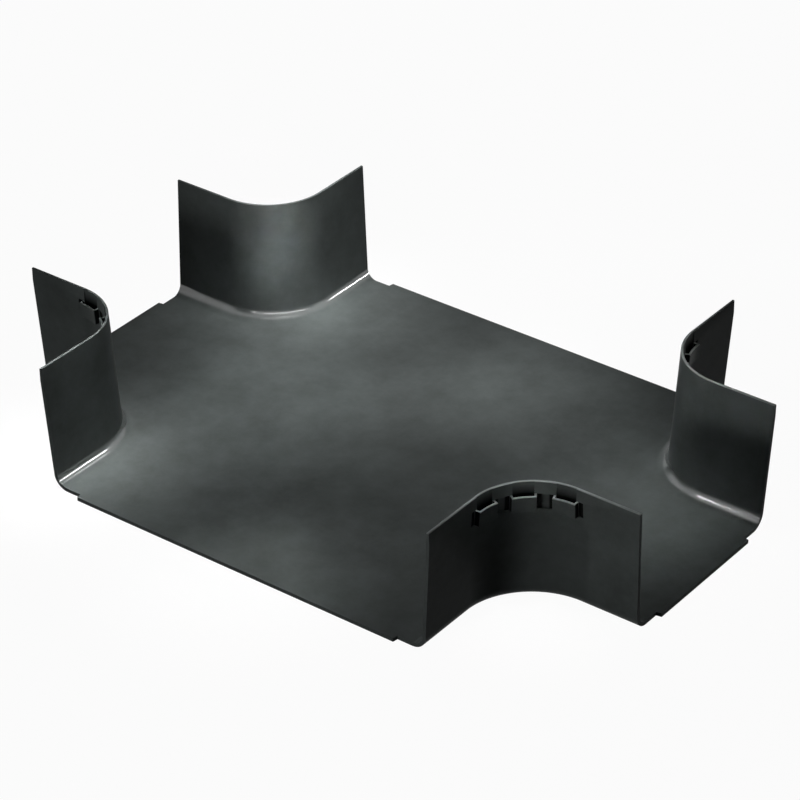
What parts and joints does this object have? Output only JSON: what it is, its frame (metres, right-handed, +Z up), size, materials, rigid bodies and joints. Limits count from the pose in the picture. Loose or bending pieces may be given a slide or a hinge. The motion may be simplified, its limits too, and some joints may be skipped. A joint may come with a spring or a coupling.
{
  "type": "fiber raceway cross fitting",
  "caption": "Open-topped moulded cross tray that joins a wide raceway channel and a narrower one at right angles, with rounded corner walls and cover clip pockets",
  "frame": {"origin": "centre of the underside, on the surface that the fitting rests on", "axes": "+X along the narrow channel, +Y along the wide channel, +Z up out of the open top"},
  "size_m": [0.551, 0.3784, 0.1016],
  "materials": {
    "charcoal_plastic": "fine even moulded grain, low sheen"
  },
  "bodies": {
    "root": {"cross_tray": "charcoal_plastic"}
  },
  "joints": []
}
